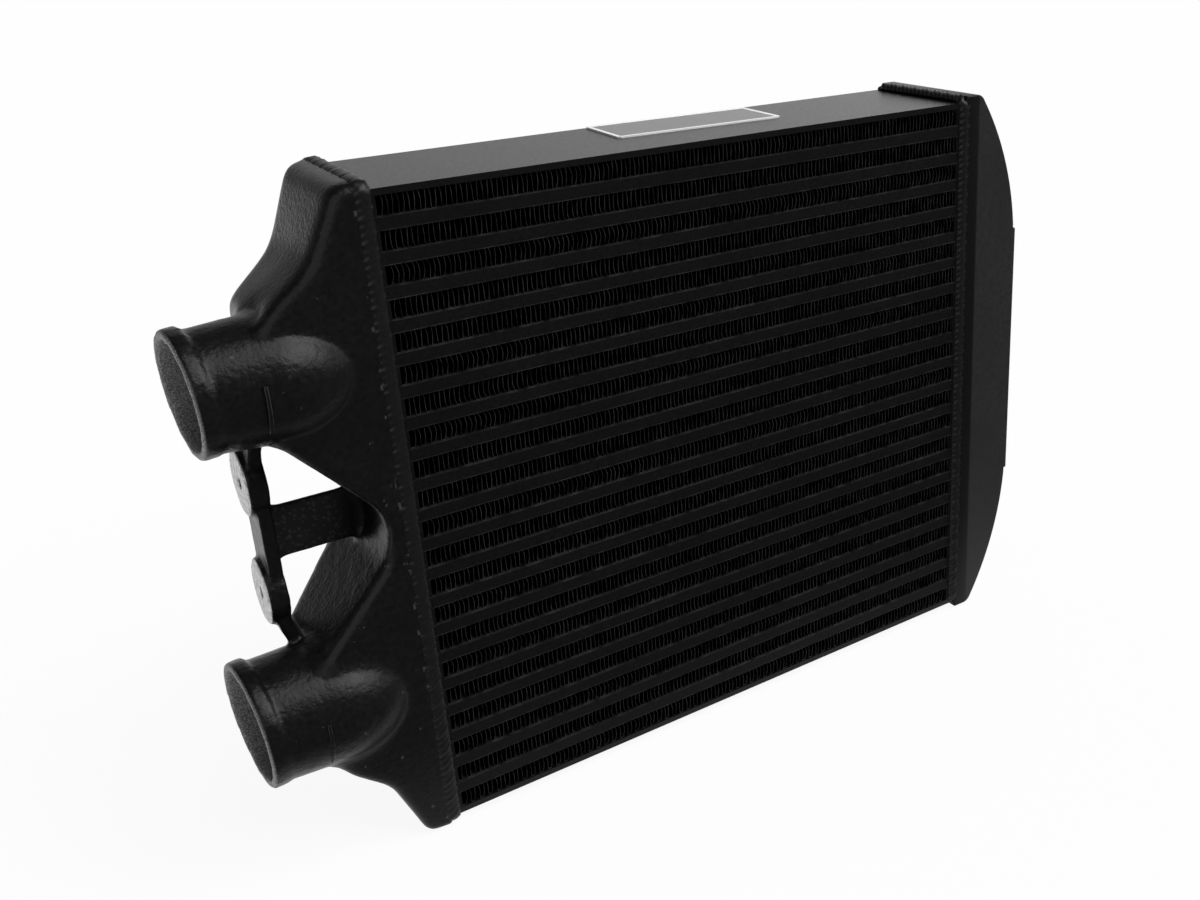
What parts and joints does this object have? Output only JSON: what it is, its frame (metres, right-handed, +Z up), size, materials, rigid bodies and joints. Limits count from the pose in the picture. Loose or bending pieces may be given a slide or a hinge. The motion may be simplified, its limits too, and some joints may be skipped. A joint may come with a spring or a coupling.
{
  "type": "intercooler",
  "caption": "Bar-and-plate intercooler: finned core between a cast end tank with hose spigots and mounting bosses, and a plain return tank.",
  "frame": {"origin": "middle of the whole object's footprint, on the surface that it stands on", "axes": "+X from the cast end tank to the return tank, -Y toward the front face of the core, +Z up"},
  "size_m": [0.4474, 0.0862, 0.3183],
  "materials": {
    "cast_paint": "satin black paint over a sand-cast surface",
    "tank_paint": "satin black paint",
    "weld_paint": "satin black paint over rippled weld",
    "plate_paint": "semi-gloss black paint",
    "bar_paint": "satin black paint",
    "sheet_paint": "satin black paint",
    "fin_paint": "thin black paint",
    "inner_aluminium": "mill",
    "bare_plate": "grey printed field with a silver border, blank"
  },
  "bodies": {
    "root": {"cast_end_tank": "cast_paint", "return_tank": "tank_paint", "end_tank_weld": "weld_paint", "return_tank_weld": "weld_paint", "top_plate": "plate_paint", "bottom_plate": "plate_paint", "name_plate": "bare_plate", "header_bars": "bar_paint", "parting_sheets": "sheet_paint", "charge_fins": "inner_aluminium", "charge_bars_01": "bar_paint", "charge_bars_02": "bar_paint", "charge_bars_03": "bar_paint", "charge_bars_04": "bar_paint", "charge_bars_05": "bar_paint", "charge_bars_06": "bar_paint", "charge_bars_07": "bar_paint", "charge_bars_08": "bar_paint", "charge_bars_09": "bar_paint", "charge_bars_10": "bar_paint", "charge_bars_11": "bar_paint", "charge_bars_12": "bar_paint", "charge_bars_13": "bar_paint", "charge_bars_14": "bar_paint", "charge_bars_15": "bar_paint", "charge_bars_16": "bar_paint", "charge_bars_17": "bar_paint", "charge_bars_18": "bar_paint", "charge_bars_19": "bar_paint", "charge_bars_20": "bar_paint", "cooling_fins_01": "fin_paint", "cooling_fins_02": "fin_paint", "cooling_fins_03": "fin_paint", "cooling_fins_04": "fin_paint", "cooling_fins_05": "fin_paint", "cooling_fins_06": "fin_paint", "cooling_fins_07": "fin_paint", "cooling_fins_08": "fin_paint", "cooling_fins_09": "fin_paint", "cooling_fins_10": "fin_paint", "cooling_fins_11": "fin_paint", "cooling_fins_12": "fin_paint", "cooling_fins_13": "fin_paint", "cooling_fins_14": "fin_paint", "cooling_fins_15": "fin_paint", "cooling_fins_16": "fin_paint", "cooling_fins_17": "fin_paint", "cooling_fins_18": "fin_paint", "cooling_fins_19": "fin_paint", "cooling_fins_20": "fin_paint", "cooling_fins_21": "fin_paint"}
  },
  "joints": []
}
